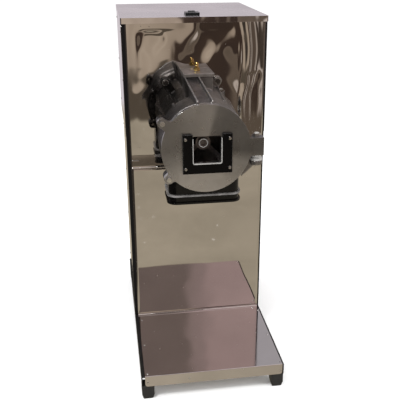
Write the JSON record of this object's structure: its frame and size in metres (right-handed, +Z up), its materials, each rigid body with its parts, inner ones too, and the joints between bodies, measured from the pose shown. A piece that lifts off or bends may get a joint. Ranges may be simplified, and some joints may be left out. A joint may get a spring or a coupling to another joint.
{
  "type": "pulverizer mill",
  "caption": "Tall belt-driven mill: mirror-finish sheet cabinet on an angle-iron frame, round hinged grinding chamber with a bag spout in front, and a low shelf for the vessel.",
  "frame": {"origin": "middle of the whole footprint, on the floor under the feet", "axes": "+X to the machine's right as its front is seen, +Y to the back, +Z up"},
  "size_m": [0.42, 0.7754, 1.0329],
  "materials": {
    "mirror_steel": "mirror polished stainless sheet",
    "lid_steel": "polished stainless sheet, a little hazy",
    "black_paint": "gloss black enamel",
    "cast_aluminium": "as cast, grey",
    "turned_aluminium": "turned, with fine rings",
    "plain_steel": "bright, machined",
    "cast_iron": "machined in the grooves",
    "motor_casting": "grey enamel on a die-cast housing",
    "brass": "plain brass",
    "rubber": "matt black",
    "black_plastic": "moulded, gloss"
  },
  "bodies": {
    "cabinet": {"post_front_left": "black_paint", "post_rear_left": "black_paint", "top_rail_left": "black_paint", "base_rail_left": "black_paint", "post_front_right": "black_paint", "post_rear_right": "black_paint", "top_rail_right": "black_paint", "base_rail_right": "black_paint", "top_rail_front": "black_paint", "top_rail_rear": "black_paint", "base_rail_front": "black_paint", "base_rail_middle": "black_paint", "base_rail_rear": "black_paint", "foot_front_left": "rubber", "foot_front_right": "rubber", "foot_rear_left": "rubber", "foot_rear_right": "rubber", "shelf_tray": "mirror_steel", "front_lower_panel": "mirror_steel", "front_upper_panel": "mirror_steel", "left_side_panel": "mirror_steel", "left_upper_cover": "mirror_steel", "right_side_panel": "mirror_steel", "right_upper_cover": "mirror_steel", "rear_panel": "mirror_steel", "lid_hinge_lower_leaf": "plain_steel", "chamber_plate": "black_paint", "chamber_body": "cast_aluminium", "jacket_plate": "cast_aluminium", "hose_nipple": "brass", "sieve_screen": "plain_steel", "outlet_spout": "black_paint", "hinge_pin": "plain_steel", "hinge_nut": "plain_steel", "bearing_front": "plain_steel", "bearing_rear": "plain_steel", "bearing_sleeve": "plain_steel", "motor_plate": "black_paint", "motor_body": "motor_casting", "motor_front_shield": "motor_casting", "motor_rear_shield": "motor_casting", "fan_cover": "motor_casting", "terminal_box": "black_plastic", "drive_belt": "rubber"},
    "lid": {"top_lid": "lid_steel", "lid_hinge_upper_leaf": "plain_steel", "switch_housing": "black_plastic"},
    "rocker": {"switch_rocker": "black_plastic"},
    "door": {"mill_door": "turned_aluminium", "door_gasket": "rubber", "hopper_bracket": "black_paint"},
    "clamp_upper": {"clamp_bolt_upper": "plain_steel"},
    "clamp_lower": {"clamp_bolt_lower": "plain_steel"},
    "mill_rotor": {"beater_rotor": "plain_steel", "rotor_screw": "plain_steel", "mill_shaft": "plain_steel", "driven_pulley": "cast_iron"},
    "motor_rotor": {"motor_shaft": "plain_steel", "drive_pulley": "cast_iron", "motor_fan": "black_plastic"}
  },
  "joints": [
    {"name": "door_swing", "type": "hinge", "parent": "cabinet", "child": "door", "pos_m": [0.1215, -0.32265, 0.728], "axis": [0, 0, 1], "range_deg": [0, 120]},
    {"name": "clamp_upper_turn", "type": "hinge", "parent": "door", "child": "clamp_upper", "pos_m": [-0.12537, -0.34665, 0.799], "axis": [0, 1, 0], "continuous": true},
    {"name": "clamp_lower_turn", "type": "hinge", "parent": "door", "child": "clamp_lower", "pos_m": [-0.11134, -0.34665, 0.65101], "axis": [0, 1, 0], "continuous": true},
    {"name": "motor_spin", "type": "hinge", "parent": "cabinet", "child": "motor_rotor", "pos_m": [-0.0135, 0.15, 0.1743], "axis": [0, 1, 0], "continuous": true},
    {"name": "rotor_spin", "type": "hinge", "parent": "cabinet", "child": "mill_rotor", "pos_m": [-0.0135, -0.1, 0.728], "axis": [0, 1, 0], "continuous": true},
    {"name": "lid_lift", "type": "hinge", "parent": "cabinet", "child": "lid", "pos_m": [0, 0.3838, 1.00265], "axis": [-1, 0, 0], "range_deg": [0, 95]},
    {"name": "switch_tilt", "type": "hinge", "parent": "lid", "child": "rocker", "pos_m": [-0.0015, 0.01235, 1.0278], "axis": [1, 0, 0], "range_deg": [-16, 0]}
  ],
  "couplings": [
    {"joint": "rotor_spin", "follows": "motor_spin", "ratio": 2.125}
  ]
}
